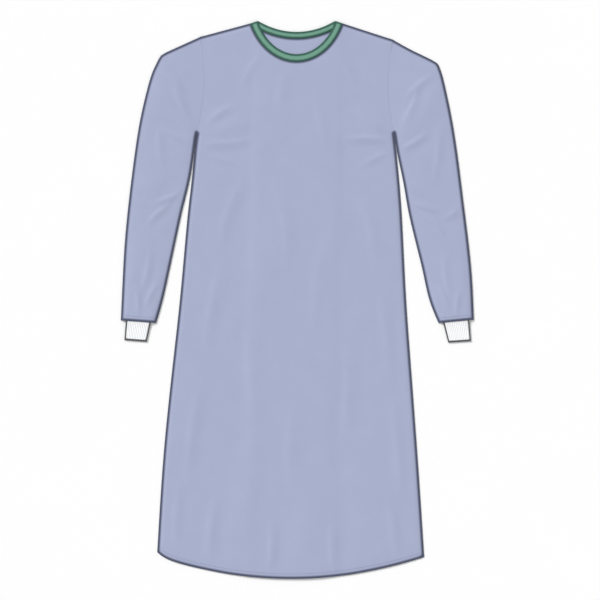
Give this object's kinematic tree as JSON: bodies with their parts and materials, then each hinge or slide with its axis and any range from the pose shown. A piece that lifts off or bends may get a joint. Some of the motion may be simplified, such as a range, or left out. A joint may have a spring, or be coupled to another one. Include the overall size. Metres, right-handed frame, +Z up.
{
  "type": "surgical gown",
  "caption": "Long-sleeved surgical gown laid flat, front up, with knitted cuffs, a bound round neck, a lapped back opening and a curved hem.",
  "frame": {"origin": "middle of the laid gown's footprint, on the surface it lies on", "axes": "+Y towards the neck along the gown's length, +Z up out of the front, +X towards the wearer's left sleeve"},
  "size_m": [0.772, 1.2202, 0.0064],
  "materials": {
    "gown_cloth": "matt nonwoven cloth",
    "neck_binding": "matt woven tape",
    "cuff_knit": "matt rib knit"
  },
  "bodies": {
    "root": {"front": "gown_cloth", "back_right": "gown_cloth", "back_left": "gown_cloth", "sleeve_right": "gown_cloth", "sleeve_left": "gown_cloth", "cuff_right": "cuff_knit", "cuff_left": "cuff_knit", "neck_binding_front": "neck_binding", "neck_binding_back_right": "neck_binding", "neck_binding_back_left": "neck_binding"}
  },
  "joints": []
}
